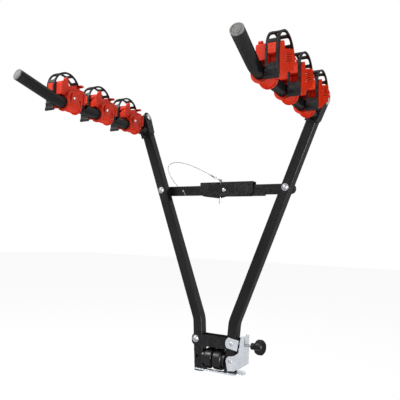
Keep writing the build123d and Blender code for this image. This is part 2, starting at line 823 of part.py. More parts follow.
def make_arm_bolt(head_side):
    # The head is outboard for head_side 1 and inboard for -1
    outside = half_tube + slide_gap + bracket_wall
    place = Pos(0, 0, arm_hinge_rise) * Rot(0, 90 * head_side, 0)
    washer = Pos(0, 0, outside + washer_thickness / 2) * Cylinder(washer_radius, washer_thickness)
    head = Pos(0, 0, outside + washer_thickness) * round_head(head_radius, head_height)
    tail = outside + nut_height + 1.0
    shank = Pos(0, 0, (outside - tail) / 2) * Cylinder(bolt_radius, outside + tail)
    nut = Pos(0, 0, -outside - nut_height) * hex_nut(nut_flats, nut_height, bolt_radius + fit_gap)
    return arm_frame * place * (washer + head + shank), arm_frame * place * nut


for side_name, turn, head_side in (("right", lambda shape: shape, 1), ("left", mirrored, -1)):
    save(f"{side_name}_arm", turn(make_arm()))
    save(f"{side_name}_arm_cap", turn(make_arm_cap()))
    save(f"{side_name}_arm_bracket", turn(make_arm_bracket()))
    save(f"{side_name}_arm_bolt", *[turn(solid) for solid in make_arm_bolt(head_side)])


# Cradle, built about the arm's axis: x outboard, y forward, z up
clamp_radius = arm_radius + wrap_gap
clamp_outer = clamp_radius + clamp_wall


def make_clamp_ring():
    ring = y_rod(0, 0, -clamp_rear, clamp_front, clamp_outer)
    flange = clamp_outer + clamp_flange
    ring = ring + y_rod(0, 0, clamp_front - clamp_flange_length, clamp_front, flange)
    ring = ring + y_rod(0, 0, -clamp_rear, -clamp_rear + clamp_flange_length, flange)
    return ring - y_rod(0, 0, -2 * clamp_rear, 2 * clamp_rear, clamp_radius)


def rounded_outline(radius, *points):
    face = outline(*points)
    return fillet(face.vertices(), radius)


saddle_rear = -strap_y + strap_thickness / 2 + 2 * slide_gap


def make_saddle_profile():
    # Seen from the side: rear horn, valley for the bicycle's tube, rise to the front
    return rounded_outline(
        saddle_round,
        (saddle_rear, saddle_floor),
        (saddle_rear, horn_shoulder),
        horn_back,
        (horn_front, horn_top),
        (valley_back, saddle_valley),
        (crest_y, horn_top),
        (saddle_front - slide_gap, horn_top),
        (saddle_front, saddle_floor),
    )


def make_skirt():
    # Rounded wall that hangs from the saddle outboard of the tube
    face = rounded_outline(
        skirt_round,
        (saddle_rear, 2 * saddle_floor),
        (saddle_front, 2 * saddle_floor),
        skirt_front,
        (-clamp_rear, skirt_low + saddle_round),
        (saddle_rear, skirt_low),
    )
    return yz_plate(face, clamp_radius + clamp_flange, saddle_outer)


def make_housing():
    # Box over the ring on the inboard side, higher at the front
    roof = housing_top + housing_rise
    face = rounded_outline(
        saddle_round / 2,
        (housing_back, housing_low),
        (housing_back, housing_top - housing_rib),
        (housing_back / 2, housing_top + housing_rib),
        (crest_y, roof),
        (housing_front, roof - housing_rib),
        (housing_front, housing_low),
    )
    housing = yz_plate(face, housing_inner, clamp_outer)
    rib_inner = housing_inner - housing_rib
    return housing + block(
        rib_inner, housing_inner, crest_y, housing_front, housing_low, roof - 2 * housing_rib
    )


def make_cradle():
    body = make_clamp_ring()
    body = body - block(-tube_size, tube_size, -over_size, over_size, -tube_size, wrap_gap)
    saddle = yz_plate(make_saddle_profile(), saddle_inner, saddle_outer)
    # Round nub on the inboard end of the rear horn
    nub = x_rod(*nub_middle, saddle_inner, saddle_inner + nub_length, nub_radius)
    body = body + make_housing() + saddle + make_skirt() + nub
    body = body - y_rod(0, 0, -2 * clamp_rear, 2 * clamp_rear, clamp_radius)
    # Ribs along the upper outboard wall, parallel to the slope of the saddle
    for i in range(rib_count):
        middle_y, middle_z = rib_middle
        rib_face = Pos(middle_y, middle_z + i * rib_pitch) * Rot(0, 0, rib_slope) * Rectangle(
            rib_length, rib_width
        )
        body = body + yz_plate(rib_face, saddle_outer - 1.0, saddle_outer + rib_proud)
    # Trough pockets across the saddle, between webs
    for low, high in pocket_ways:
        body = body - block(
            saddle_inner + pocket_wall, strap_inner - pocket_wall, low, high,
            saddle_valley - pocket_depth, 2 * saddle_valley,
        )
    # Step down to a low front box on the inboard side
    step_y, step_z = step_front
    body = body - block(-over_size, step_outer, step_y, over_size, step_z, over_size)
    # Lugs that carry the strap's pin at the front
    lug_face = outline(
        (pin_lug_root, pin_lug_low),
        (strap_y, strap_pin_z - pin_lug_radius),
        (strap_y, strap_pin_z + pin_lug_radius),
        (pin_lug_root, pin_lug_high),
    )
    lug_face = lug_face + Pos(strap_y, strap_pin_z) * Circle(pin_lug_radius)
    for x_low in (strap_inner - slide_gap - pin_lug_thickness, strap_outer + slide_gap):
        body = body + yz_plate(lug_face, x_low, x_low + pin_lug_thickness)
    # Room in front for the strap's eye
    body = body - block(
        strap_inner - slide_gap, strap_outer + slide_gap,
        strap_y - strap_eye_radius - eye_room, 3 * strap_y, 0, 2 * strap_y,
    )
    # Recess behind the lower half of the strap's long window, and the hook that fills its upper half
    rear = -strap_y + strap_thickness / 2
    middle = (strap_inner + strap_outer) / 2
    half = strap_window_width / 2
    body = body - block(
        middle - half, middle + half, -2 * strap_y, rear + recess_depth, recess_low, recess_high
    )
    half = half - pad_side_gap
    body = body + block(
        middle - half, middle + half, -strap_y - strap_thickness / 2 - pad_proud, rear + pad_depth,
        pad_low, pad_high,
    )
    # Room for the clamp's lower half and its lug
    flange = clamp_outer + clamp_flange + slide_gap
    lower = y_rod(0, 0, -clamp_rear - slide_gap, clamp_front + slide_gap, flange)
    body = body - (lower & block(-tube_size, tube_size, -over_size, over_size, -tube_size, wrap_gap))
    lug_back = lug_middle - lug_half_length - slide_gap
    lug_front = lug_middle + lug_half_length + slide_gap
    body = body - block(-tube_size, housing_inner, lug_back, lug_front, -tube_size, lug_top + slide_gap)
    # Hollow under the saddle, open below
    body = body - block(
        clamp_outer + hollow_wall, saddle_outer - hollow_wall, -hollow_half, hollow_half,
        -tube_size, hollow_roof,
    )
    body = body - x_rod(strap_y, strap_pin_z, 0, 2 * saddle_outer, strap_pin_radius + fit_gap)
    return body - x_rod(lug_middle, lug_screw_z, housing_inner - 1.0, cradle_screw_end, cradle_screw_radius)


def make_clamp_cap():
    # Lower half of the ring, with a tapered lug that a screw holds to the housing
    cap = make_clamp_ring()
    cap = cap - block(-tube_size, tube_size, -over_size, over_size, 0, tube_size)
    lug_outer = housing_inner - wrap_gap
    face = rounded_outline(
        lug_border / 2,
        (-lug_half_length, -lug_low),
        (lug_half_length, -lug_low),
        (lug_half_length, lug_low),
        (lug_tip_half, lug_top),
        (-lug_tip_half, lug_top),
        (-lug_half_length, lug_low),
    )
    cap = cap + Pos(0, lug_middle, 0) * yz_plate(face, lug_outer - lug_thickness, lug_outer)
    # Raised border of the lug
    base_half = lug_half_length - lug_border
    inner = rounded_outline(
        lug_border / 3, (-base_half, lug_low / 2), (base_half, lug_low / 2), (0, lug_top - lug_border)
    )
    lug_face_x = lug_outer - lug_thickness
    pocket = yz_plate(inner, lug_face_x - lug_recess, lug_face_x + lug_recess)
    seat = x_rod(lug_middle, lug_screw_z, lug_face_x, lug_outer, lug_seat_radius)
    cap = (cap - Pos(0, lug_middle, 0) * pocket) + seat
    cap = cap - y_rod(0, 0, -2 * clamp_rear, 2 * clamp_rear, clamp_radius)
    return cap - x_rod(lug_middle, lug_screw_z, -2 * tube_size, 0, cradle_screw_radius)


def make_cradle_screw():
    outer = housing_inner - wrap_gap - lug_thickness
    head = Pos(outer, lug_middle, lug_screw_z) * Rot(0, -90, 0) * round_head(*cradle_screw_head)
    return head + x_rod(lug_middle, lug_screw_z, outer, cradle_screw_end, cradle_screw_radius - fit_gap)


def make_strap_pin():
    start = strap_inner - slide_gap - pin_lug_thickness
    end = strap_outer + slide_gap + pin_lug_thickness
    return x_rod(strap_y, strap_pin_z, start, end, strap_pin_radius)


def make_strap():
    low = strap_y - strap_thickness / 2
    high = strap_y + strap_thickness / 2
    band = Pos(0, strap_centre_z) * (Circle(high) - Circle(low))
    band = band & (Pos(0, strap_centre_z + high) * Rectangle(4 * high, 2 * high))
    leg_height = strap_centre_z - strap_tab_top
    leg = Pos(-strap_y, strap_tab_top + leg_height / 2) * Rectangle(strap_thickness, leg_height)
    eye = Pos(strap_y, strap_pin_z) * Circle(strap_eye_radius)
    eye = eye + Pos(strap_y, strap_centre_z) * Rectangle(strap_thickness, strap_thickness)
    strap = yz_plate(band + leg + eye, strap_inner, strap_outer)
    # Flared pull tab
    middle = (strap_inner + strap_outer) / 2
    narrow = (strap_outer - strap_inner) / 2
    wide = strap_tab_width / 2
    tab = outline(
        (middle - narrow, strap_tab_top), (middle - wide, strap_tab_bottom),
        (middle + wide, strap_tab_bottom), (middle + narrow, strap_tab_top),
    )
    tab_front = -strap_y + strap_thickness / 2
    strap = strap + xz_plate(tab, tab_front - strap_tab_thickness, tab_front)
    # One long window up the rear leg, then shorter ones over the arch
    reach = strap_window_width / 2
    long_low = strap_tab_top + strap_window_margin
    strap = strap - block(
        middle - reach, middle + reach, -strap_y - 2 * strap_thickness, -strap_y + 2 * strap_thickness,
        long_low, strap_centre_z + strap_window_length / 2,
    )
    window = Box(strap_window_width, 3 * strap_thickness, strap_window_length)
    for i in range(strap_arch_windows):
        turn = degrees((i + 1) * strap_window_pitch / strap_y)
        strap = strap - Pos(middle, 0, strap_centre_z) * Rot(-turn, 0, 0) * Pos(0, -strap_y, 0) * window
    return strap - x_rod(strap_y, strap_pin_z, 0, 2 * saddle_outer, strap_pin_radius + fit_gap)


arm_x, _, arm_z = up_right(arm_rise)
screws = []
caps = []
pins = []
for i, name in enumerate(cradle_names):
    place = Pos(arm_x, -first_cradle_y - i * cradle_pitch, arm_z)
    for side_name, turn in (("right", lambda shape: shape), ("left", mirrored)):
        save(f"{side_name}_{name}_cradle", turn(place * make_cradle()))
        save(f"{side_name}_{name}_strap", turn(place * make_strap()))
    caps.append(place * make_clamp_cap())
    screws.append(place * make_cradle_screw())
    pins.append(place * make_strap_pin())
for side_name, turn in (("right", lambda shape: shape), ("left", mirrored)):
    save(f"{side_name}_clamp_caps", *[turn(cap) for cap in caps])
    save(f"{side_name}_cradle_screws", *[turn(screw) for screw in screws])
    save(f"{side_name}_strap_pins", *[turn(pin_solid) for pin_solid in pins])
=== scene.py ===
import math

import bmesh
import bpy
from mathutils import Euler, Matrix, Vector


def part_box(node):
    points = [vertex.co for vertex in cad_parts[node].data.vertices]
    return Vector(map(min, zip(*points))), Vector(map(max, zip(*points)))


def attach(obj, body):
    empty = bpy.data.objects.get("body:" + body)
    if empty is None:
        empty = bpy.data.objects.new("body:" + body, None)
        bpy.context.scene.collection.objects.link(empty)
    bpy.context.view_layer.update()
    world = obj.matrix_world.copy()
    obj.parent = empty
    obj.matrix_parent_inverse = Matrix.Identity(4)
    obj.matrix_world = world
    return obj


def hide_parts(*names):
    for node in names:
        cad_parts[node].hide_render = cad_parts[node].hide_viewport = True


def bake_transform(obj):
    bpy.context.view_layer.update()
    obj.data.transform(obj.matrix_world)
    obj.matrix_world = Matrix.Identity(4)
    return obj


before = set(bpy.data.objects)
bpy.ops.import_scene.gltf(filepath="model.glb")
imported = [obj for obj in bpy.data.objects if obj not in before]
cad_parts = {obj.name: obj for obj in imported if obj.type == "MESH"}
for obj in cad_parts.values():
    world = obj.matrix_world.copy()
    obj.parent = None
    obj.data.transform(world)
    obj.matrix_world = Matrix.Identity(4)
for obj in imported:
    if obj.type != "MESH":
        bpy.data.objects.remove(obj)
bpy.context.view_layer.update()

scene = bpy.context.scene
mm = 0.001
sides = {"right": 1, "left": -1}
cradleNames = ("front", "middle", "rear")

# camera, solved from the photograph
view = {
    "place": (0.7068, -1.3294, 0.3502),
    "turn": 30.43,      # degrees to the left of straight ahead
    "rise": 4.69,       # degrees above level
    "roll": 2.08,
    "lens": 44.26,      # mm
    "sensor": 36,
    "farthest": 50,
}


def makeCamera():
    data = bpy.data.cameras.new("photoCamera")
    data.sensor_width = view["sensor"]
    data.lens = view["lens"]
    data.clip_end = view["farthest"]
    camera = bpy.data.objects.new("photoCamera", data)
    scene.collection.objects.link(camera)
    aim = Euler((math.radians(90 + view["rise"]), 0, math.radians(view["turn"]))).to_matrix()
    aim = aim @ Matrix.Rotation(math.radians(view["roll"]), 3, "Z")
    camera.matrix_world = Matrix.Translation(view["place"]) @ aim.to_4x4()
    scene.camera = camera


makeCamera()
print("camera set")

# shader effects that several finishes share; each pair is the range that an effect is spread over
effects = {
    "grainDetail": 2.0,
    "cloudDetail": 3.0,
    "mottle": (0.35, 0.65),         # of the noise
    "cornerWearAndHighlight": (0.51, 0.60),   # of the pointiness
    "wearAndHighlightDetail": 4.0,
    "wearAndHighlightPatches": (0.38, 0.62),
    "facingUp": (0.25, 1.0),        # of the normal's height
    "dustDetail": 5.0,
    "dustPatches": (0.30, 0.75),
    "recessOpening": (0.38, 0.93),  # full shade at the first, none at the second
    "recessRays": 8,
}


def newGroup(name, inputs, outputs):
    group = bpy.data.node_groups.new(name, "ShaderNodeTree")
    for label, default in inputs.items():
        socket = group.interface.new_socket(name=label, in_out="INPUT", socket_type="NodeSocketFloat")
        socket.default_value = default
    for label in outputs:
        group.interface.new_socket(name=label, in_out="OUTPUT", socket_type="NodeSocketFloat")
    start = group.nodes.new("NodeGroupInput")
    end = group.nodes.new("NodeGroupOutput")
    return group, start, end


def addNode(tree, kind, **values):
    node = tree.nodes.new(kind)
    for label, value in values.items():
        node.inputs[label].default_value = value
    return node


def combine(tree, operation, a, b):
    # a and b are sockets or numbers
    node = tree.nodes.new("ShaderNodeMath")
    node.operation = operation
    for socket, value in zip(node.inputs, (a, b)):
        if isinstance(value, (int, float)):
            socket.default_value = value
        else:
            tree.links.new(value, socket)
    return node.outputs[0]


def remap(tree, value, low, high, newLow=0.0, newHigh=1.0):
    node = tree.nodes.new("ShaderNodeMapRange")
    node.interpolation_type = "SMOOTHSTEP"
    tree.links.new(value, node.inputs["Value"])
    for label, number in zip(("From Min", "From Max", "To Min", "To Max"), (low, high, newLow, newHigh)):
        node.inputs[label].default_value = number
    return node.outputs["Result"]


def objectNoise(tree, scale, detail, roughness=0.55, stretch=None):
    # scale is a socket or a number
    coordinates = tree.nodes.new("ShaderNodeTexCoord").outputs["Object"]
    if stretch is not None:
        mapping = addNode(tree, "ShaderNodeMapping", Scale=stretch)
        tree.links.new(coordinates, mapping.inputs["Vector"])
        coordinates = mapping.outputs["Vector"]
    noise = addNode(tree, "ShaderNodeTexNoise", Detail=detail, Roughness=roughness)
    tree.links.new(coordinates, noise.inputs["Vector"])
    if isinstance(scale, (int, float)):
        noise.inputs["Scale"].default_value = scale
    else:
        tree.links.new(scale, noise.inputs["Scale"])
    return noise.outputs["Fac"]


def makeSkinGroup():
    # The fine skin and the broad mottling of a finish
    tree, start, end = newGroup("surfaceSkin", {"Grain": 900.0, "Cloud": 18.0}, ("Height", "Mottle"))
    fine = objectNoise(tree, start.outputs["Grain"], effects["grainDetail"])
    broad = objectNoise(tree, start.outputs["Cloud"], effects["cloudDetail"])
    tree.links.new(fine, end.inputs["Height"])
    tree.links.new(remap(tree, broad, *effects["mottle"]), end.inputs["Mottle"])
    return tree


def makeEdgeGroup():
    # Where a corner is rubbed, and lighter there as a painted highlight
    tree, start, end = newGroup("rubbedEdgeAndHighlight", {"Breakup": 160.0}, ("Mask",))
    point = tree.nodes.new("ShaderNodeNewGeometry").outputs["Pointiness"]
    sharp = remap(tree, point, *effects["cornerWearAndHighlight"])
    noise = objectNoise(tree, start.outputs["Breakup"], effects["wearAndHighlightDetail"])
    patches = remap(tree, noise, *effects["wearAndHighlightPatches"])
    tree.links.new(combine(tree, "MULTIPLY", sharp, patches), end.inputs["Mask"])
    return tree


def makeDustGroup():
    # A little dust on what faces up
    tree, start, end = newGroup("settledDust", {"Breakup": 60.0}, ("Mask",))
    split = tree.nodes.new("ShaderNodeSeparateXYZ")
    tree.links.new(tree.nodes.new("ShaderNodeNewGeometry").outputs["Normal"], split.inputs[0])
    up = remap(tree, split.outputs["Z"], *effects["facingUp"])
    noise = objectNoise(tree, start.outputs["Breakup"], effects["dustDetail"])
    patches = remap(tree, noise, *effects["dustPatches"])
    tree.links.new(combine(tree, "MULTIPLY", up, patches), end.inputs["Mask"])
    return tree


def makeRecessGroup():
    # Mask for painted shade where a surface is shut in by its neighbours
    tree, start, end = newGroup("recessShade", {"Reach": 0.006}, ("Mask",))
    shade = tree.nodes.new("ShaderNodeAmbientOcclusion")
    shade.samples = effects["recessRays"]
    tree.links.new(start.outputs["Reach"], shade.inputs["Distance"])
    shut = remap(tree, shade.outputs["AO"], *effects["recessOpening"], 1.0, 0.0)
    tree.links.new(shut, end.inputs["Mask"])
    return tree


skinGroup = makeSkinGroup()
edgeGroup = makeEdgeGroup()
dustGroup = makeDustGroup()
recessGroup = makeRecessGroup()


def placeGroup(tree, group, **values):
    node = tree.nodes.new("ShaderNodeGroup")
    node.node_tree = group
    for label, value in values.items():
        node.inputs[label].default_value = value
    return node


def mixColour(tree, factor, a, b):
    # a and b are colours or sockets
    node = tree.nodes.new("ShaderNodeMix")
    node.data_type = "RGBA"
    tree.links.new(factor, node.inputs[0])
    for socket, value in ((node.inputs[6], a), (node.inputs[7], b)):
        if isinstance(value, tuple):
            socket.default_value = (*value, 1)
        else:
            tree.links.new(value, socket)
    return node.outputs[2]


def newMaterial(name, values):
    material = bpy.data.materials.new(name)
    material.use_nodes = True
    tree = material.node_tree
    shader = tree.nodes["Principled BSDF"]
    for label, value in values.items():
        shader.inputs[label].default_value = value
    return material, tree, shader


def bumpInto(tree, shader, height, depth):
    bump = addNode(tree, "ShaderNodeBump", Distance=depth, Strength=1.0)
    tree.links.new(height, bump.inputs["Height"])
    tree.links.new(bump.outputs["Normal"], shader.inputs["Normal"])


# paints, plastics and rubber, whose lighter corners are partly wear and partly painted highlight
coat = {
    "colour": (0.0060, 0.0060, 0.0066),
    "cloud": (0.0090, 0.0090, 0.0100),
    "rubbedAndHighlight": ((0.045, 0.045, 0.048), 140.0, 1.0),      # colour of the worn corners with their painted highlight, fineness and amount, as for dust
    "dust": ((0.070, 0.068, 0.065), 45.0, 0.05),
    "roughness": (0.27, 0.32),
    "shine": (0.17, 0.0),       # facing the eye and edge on
    "shineSpan": (0.22, 0.80),
    "grain": 1100.0,            # fineness of the skin
    "patches": 14.0,            # and of the mottling
    "depth": 0.000003,
}
gloss = {
    "colour": (0.0040, 0.0040, 0.0044),
    "cloud": (0.0080, 0.0080, 0.0090),
    "rubbedAndHighlight": ((0.045, 0.045, 0.048), 200.0, 1.0),
    "roughness": (0.24, 0.34),
    "shine": (0.26, 0.0),
    "shineSpan": (0.15, 0.70),
    "grain": 260.0,
    "patches": 40.0,
    "depth": 0.00001,
}
plastic = {
    "colour": (0.86, 0.040, 0.011),
    "cloud": (0.78, 0.032, 0.009),
    "rubbedAndHighlight": ((0.88, 0.13, 0.06), 220.0, 0.5),
    "dust": ((0.070, 0.068, 0.065), 90.0, 0.05),
    "recessPaintedShade": ((0.16, 0.005, 0.002), 0.007, 0.70),      # painted shade in recesses: colour, reach in metres and amount
    "roughness": (0.24, 0.36),
    "shine": (0.26, 0.0),
    "shineSpan": (0.15, 0.70),
    "grain": 1500.0,
    "patches": 55.0,
    "depth": 0.00001,
    "shader": {"Subsurface Weight": 0.06, "Subsurface Scale": 0.004},
}
rubber = {
    "colour": (0.009, 0.009, 0.010),
    "cloud": (0.020, 0.020, 0.022),
    "rubbedAndHighlight": ((0.06, 0.06, 0.063), 180.0, 0.4),
    "roughness": (0.34, 0.50),
    "shine": (0.20, 0.02),
    "shineSpan": (0.15, 0.70),
    "grain": 800.0,
    "patches": 70.0,
    "depth": 0.00002,
}
knobPlastic = {
    "colour": (0.005, 0.005, 0.0055),
    "cloud": (0.009, 0.009, 0.010),
    "rubbedAndHighlight": ((0.03, 0.03, 0.03), 180.0, 0.4),
    "roughness": (0.30, 0.42),
    "shine": (0.18, 0.0),
    "shineSpan": (0.15, 0.70),
    "grain": 900.0,
    "patches": 70.0,
    "depth": 0.00002,
}
capPlastic = {
    "colour": (0.20, 0.20, 0.195),
    "cloud": (0.30, 0.30, 0.29),
    "rubbedAndHighlight": ((0.40, 0.40, 0.39), 180.0, 0.4),
    "roughness": (0.42, 0.58),
    "shine": (0.40, 0.20),
    "shineSpan": (0.15, 0.70),
    "grain": 1000.0,
    "patches": 70.0,
    "depth": 0.00004,
}


def makeCoating(name, look):
    # Mottled, and as its values ask rubbed and lighter at the corners as a painted highlight, dusty on top
    # and darker in its recesses as painted shade
    material, tree, shader = newMaterial(name, look.get("shader", {}))
    # Less shine where a surface is seen edge on, because the room there is dark in the photograph
    facing = addNode(tree, "ShaderNodeLayerWeight", Blend=0.5).outputs["Facing"]
    shine = remap(tree, facing, *look["shineSpan"], *look["shine"])
    tree.links.new(shine, shader.inputs["Specular IOR Level"])
    skin = placeGroup(tree, skinGroup, Grain=look["grain"], Cloud=look["patches"])
    mottle = skin.outputs["Mottle"]
    colour = mixColour(tree, mottle, look["colour"], look["cloud"])
    # corners mix in wear and painted highlight, recesses mix in painted shade
    for effect, group in (("rubbedAndHighlight", edgeGroup), ("dust", dustGroup), ("recessPaintedShade", recessGroup)):
        if effect in look:
            tint, size, amount = look[effect]
            node = placeGroup(tree, group)
            node.inputs[0].default_value = size
            share = combine(tree, "MULTIPLY", node.outputs["Mask"], amount)
            colour = mixColour(tree, share, colour, tint)
    tree.links.new(colour, shader.inputs["Base Color"])
    tree.links.new(remap(tree, mottle, 0, 1, *look["roughness"]), shader.inputs["Roughness"])
    bumpInto(tree, shader, skin.outputs["Height"], look["depth"])
    return material


# metals
boltSteel = {
    "colour": (0.47, 0.47, 0.49),
    "cloud": (0.34, 0.34, 0.36),
    "roughness": (0.32, 0.44),
    "grain": 500.0,
    "patches": 90.0,
    "depth": 0.00001,
}
wireSteel = {
    "colour": (0.42, 0.42, 0.43),
    "cloud": (0.30, 0.30, 0.31),
    "roughness": (0.25, 0.38),
    "grain": 900.0,
    "patches": 90.0,
    "depth": 0.00001,
}
ferruleAlloy = {
    "colour": (0.24, 0.24, 0.25),
    "cloud": (0.15, 0.15, 0.16),
    "roughness": (0.36, 0.50),
    "grain": 700.0,
    "patches": 90.0,
    "depth": 0.00001,
}
zinc = {
    "colour": (0.56, 0.59, 0.63),
    "spangle": (0.64, 0.67, 0.71),
    "spangleScale": 190.0,
    "stain": (0.42, 0.44, 0.47),
    "stainAmount": 0.30,
    # painted shade in the recesses, with its reach and amount
    "recessPaintedShade": (0.16, 0.17, 0.18),
    "paintedShadeReach": 0.005,
    "paintedShadeAmount": 0.6,
    "grain": 700.0,
    "patches": 30.0,
    "brushScale": 60.0,
    "brushDetail": 4.0,
    "brushRoughness": 0.6,
    "brushStretch": (1.0, 1.0, 26.0),
    "brushSpan": (0.3, 0.7),
    "roughness": (0.26, 0.40),
    "depth": 0.000015,
}


def makeMetal(name, look):
    material, tree, shader = newMaterial(name, {"Metallic": 1.0})
    skin = placeGroup(tree, skinGroup, Grain=look["grain"], Cloud=look["patches"])
    mottle = skin.outputs["Mottle"]
    tree.links.new(mixColour(tree, mottle, look["colour"], look["cloud"]), shader.inputs["Base Color"])
    tree.links.new(remap(tree, mottle, 0, 1, *look["roughness"]), shader.inputs["Roughness"])
    bumpInto(tree, shader, skin.outputs["Height"], look["depth"])
    return material


def makeZinc():
    # Spangled plating, a little stained, darker in its recesses as painted shade and brushed in level streaks
    material, tree, shader = newMaterial("zincPlate", {"Metallic": 1.0})
    spangle = addNode(tree, "ShaderNodeTexVoronoi", Scale=zinc["spangleScale"])
    tree.links.new(tree.nodes.new("ShaderNodeTexCoord").outputs["Object"], spangle.inputs["Vector"])
    split = tree.nodes.new("ShaderNodeSeparateColor")
    tree.links.new(spangle.outputs["Color"], split.inputs[0])
    colour = mixColour(tree, split.outputs[0], zinc["colour"], zinc["spangle"])
    skin = placeGroup(tree, skinGroup, Grain=zinc["grain"], Cloud=zinc["patches"])
    stain = combine(tree, "MULTIPLY", skin.outputs["Mottle"], zinc["stainAmount"])
    colour = mixColour(tree, stain, colour, zinc["stain"])
    # painted shade where the plating is shut in by its neighbours
    recessPaintedShade = placeGroup(tree, recessGroup, Reach=zinc["paintedShadeReach"])
    shade = combine(tree, "MULTIPLY", recessPaintedShade.outputs["Mask"], zinc["paintedShadeAmount"])
    colour = mixColour(tree, shade, colour, zinc["recessPaintedShade"])
    tree.links.new(colour, shader.inputs["Base Color"])
    brushed = objectNoise(
        tree, zinc["brushScale"], zinc["brushDetail"], zinc["brushRoughness"], zinc["brushStretch"]
    )
    tree.links.new(remap(tree, brushed, *zinc["brushSpan"], *zinc["roughness"]), shader.inputs["Roughness"])
    bumpInto(tree, shader, brushed, zinc["depth"])
    return material


finishes = {
    "coat": makeCoating("blackPowderCoat", coat),
    "gloss": makeCoating("blackGlossCasting", gloss),
    "plastic": makeCoating("redMouldedPlastic", plastic),
    "rubber": makeCoating("strapRubber", rubber),
    "knob": makeCoating("knobPlastic", knobPlastic),
    "cap": makeCoating("endCapPlastic", capPlastic),
    "zinc": makeZinc(),
    "bolt": makeMetal("boltSteel", boltSteel),
    "wire": makeMetal("wireSteel", wireSteel),
    "ferrule": makeMetal("ferruleAlloy", ferruleAlloy),
}
print("finishes made:", len(finishes))

# the plain solids keep their shape and get softened edges and a finish
middleFinish = {
    "coat": ("bridge", "lock_lip", "hinge_packers"),
    "zinc": ("bolt_plates", "clamp_lever", "safety_plate"),
    "bolt": ("knob_stud", "hinge_bolt", "lever_bolt", "right_cross_nut"),
    "wire": ("lock_pin", "lock_ring", "lanyard_anchor"),
    "knob": ("knob",),
}
sideFinish = {
    "coat": ("upright", "bar", "hinge_channel", "arm", "arm_bracket", "cross_spacer"),
    "gloss": ("cup",),
    "bolt": ("base_bolt", "cross_bolt", "cup_screws", "cradle_screws", "strap_pins"),
    "wire": ("arm_bolt",),
    "cap": ("top_plug", "arm_cap"),
    "plastic": ("clamp_caps", "front_cradle", "middle_cradle", "rear_cradle"),
}
softening = {
    "width": {"coat": 0.5, "gloss": 0.5, "zinc": 0.35, "bolt": 0.3, "plastic": 0.55, "knob": 0.7, "cap": 0.4},
    "seam": 0.00001,        # metres between corners that are joined
    "flatAngle": 0.5,       # degrees
    "edgeAngle": 32,
    "segments": 2,
    "weight": 90,
}


def paint(obj, finish):
    obj.data.materials.clear()
    obj.data.materials.append(finishes[finish])


def softenEdges(obj, width):
    for polygon in obj.data.polygons:
        polygon.use_smooth = True
    weld = obj.modifiers.new("joinSeams", "WELD")
    weld.merge_threshold = softening["seam"]
    flat = obj.modifiers.new("clearFlats", "DECIMATE")
    flat.decimate_type = "DISSOLVE"
    flat.angle_limit = math.radians(softening["flatAngle"])
    bevel = obj.modifiers.new("softenEdges", "BEVEL")
    bevel.width = width * mm
    bevel.segments = softening["segments"]
    bevel.limit_method = "ANGLE"
    bevel.angle_limit = math.radians(softening["edgeAngle"])
    bevel.use_clamp_overlap = False
    bevel.harden_normals = True
    shade = obj.modifiers.new("evenShade", "WEIGHTED_NORMAL")
    shade.keep_sharp = True
    shade.weight = softening["weight"]


def finishSolids():
    nodeFinish = {node: finish for finish, nodes in middleFinish.items() for node in nodes}
    for side in sides:
        for finish, parts in sideFinish.items():
            nodeFinish.update({f"{side}_{part}": finish for part in parts})
    for node, finish in nodeFinish.items():
        paint(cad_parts[node], finish)
        if finish in softening["width"]:
            softenEdges(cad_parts[node], softening["width"][finish])
    print("solids finished:", len(nodeFinish))


finishSolids()


def newPiece(name, mesh, finish):
    obj = bpy.data.objects.new(name, mesh)
    scene.collection.objects.link(obj)
    paint(obj, finish)
    return obj


def meshFrom(name, shape):
    bmesh.ops.recalc_face_normals(shape, faces=shape.faces[:])
    mesh = bpy.data.meshes.new(name)
    shape.to_mesh(mesh)
    shape.free()
    for polygon in mesh.polygons:
        polygon.use_smooth = True
    return mesh


def addLoops(shape, loops, capped=True):
    # Skins a list of closed rings of points; capped fills the first and last
    rings = [[shape.verts.new(point) for point in loop] for loop in loops]
    count = len(rings[0])
    for first, second in zip(rings, rings[1:]):
        for i in range(count):
            j = (i + 1) % count
            shape.faces.new((first[i], first[j], second[j], second[i]))
    if capped:
        shape.faces.new(list(reversed(rings[0])))
        shape.faces.new(rings[-1])
    return rings


# rubber straps, in millimetres from the arm's middle and the saddle's middle
strap = {
    "inner": 18.2,          # edges of the strap, outboard of the arm
    "outer": 47.8,
    "thick": 4.0,
    "reach": 47.0,          # from the saddle's middle to the strap's middle line
    "springing": 47.0,      # height where the arch begins
    "pastArch": 0.5,
    "step": 3.5,            # about one facet along the strap
    "tabTop": 6.0,
    "tabBottom": -22.0,
    "tabWidth": 35.0,
    "tabThick": 5.5,        # over its grips
    "tabFlare": 1.3,
    "tabRows": 22,
    "tabSoft": 0.9,
    "tabEnd": 0.95,         # share of the tab past which its end is rounded
    "tabEndInset": 0.8,
    "gripRise": 1.9,
    "grips": (0.30, 0.82),  # shares of the way down the tab
    "gripWidth": 0.07,
    "eye": 6.5,
    "eyeSoft": 0.7,
    "eyeSides": 28,
    "pin": 3.05,
    "pinHeight": 44.0,
    "windowWidth": 20.0,
    "windows": [(5.0, 50.0), (58.0, 76.0), (84.0, 102.0), (110.0, 128.0), (136.0, 154.0), (162.0, 180.0)],
    "corner": 4.0,          # of a window, whose ends are measured along the strap from the tab's top
    "cornerSteps": (0, 0.08, 0.3, 1),
    "edgeRound": 0.9,
    "edgeSegments": 3,
    "edgeAngle": 50,
}


def strapPoint(along, across, off):
    # A point of the strap: along it from the tab's top, across it, and off its middle surface
    rise = strap["springing"] - strap["tabTop"]
    if along <= rise:
        return Vector((across, -strap["reach"] - off, strap["tabTop"] + along))
    turn = min((along - rise) / strap["reach"], math.pi)
    radius = strap["reach"] + off
    extra = max(0.0, along - rise - math.pi * strap["reach"])
    return Vector((across, -radius * math.cos(turn), strap["springing"] + radius * math.sin(turn) - extra))


